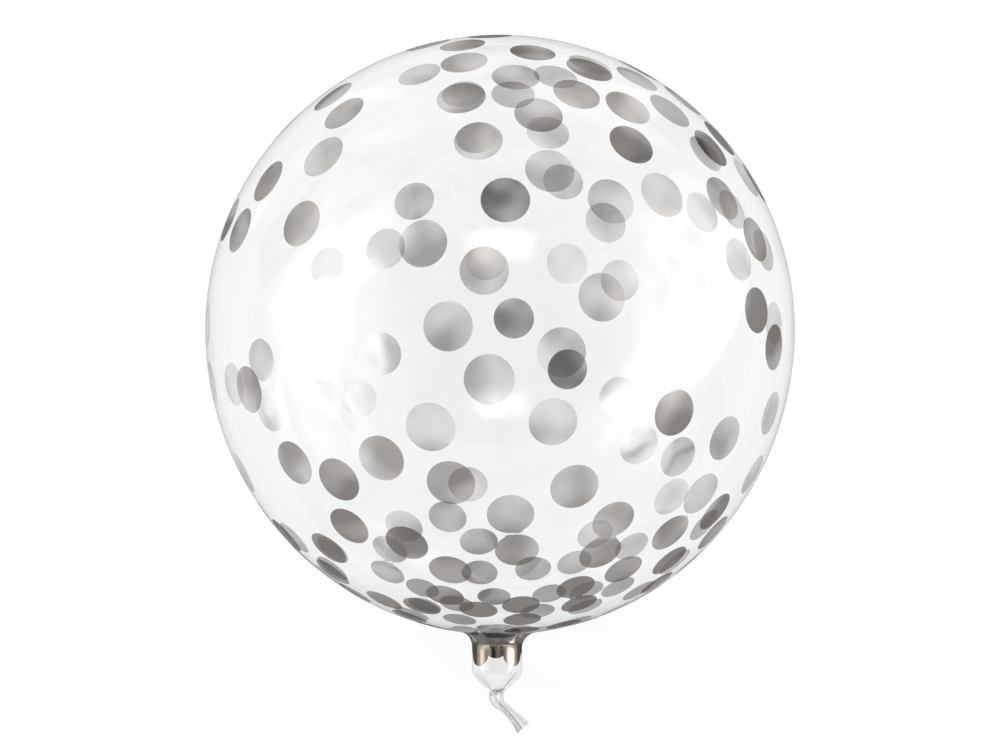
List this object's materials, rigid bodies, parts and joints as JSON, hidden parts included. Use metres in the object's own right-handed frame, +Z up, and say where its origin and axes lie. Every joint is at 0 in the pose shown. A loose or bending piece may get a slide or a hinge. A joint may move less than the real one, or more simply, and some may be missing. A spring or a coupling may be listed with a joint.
{
  "type": "clear bubble balloon",
  "caption": "Sealed clear film balloon with a round globe, a short neck, a knot and a cut tail, printed with scattered silver dots, lying on a small flat spot.",
  "frame": {"origin": "middle of the small flat spot that the globe rests on", "axes": "+Z up, -Y toward the neck's side, +X to the right as seen from the neck's side"},
  "size_m": [0.4, 0.4028, 0.4019],
  "materials": {
    "clear_film": "thin clear film, glossy, printed with semi-transparent metallic silver dots"
  },
  "bodies": {
    "root": {"bubble_balloon": "clear_film"}
  },
  "joints": []
}
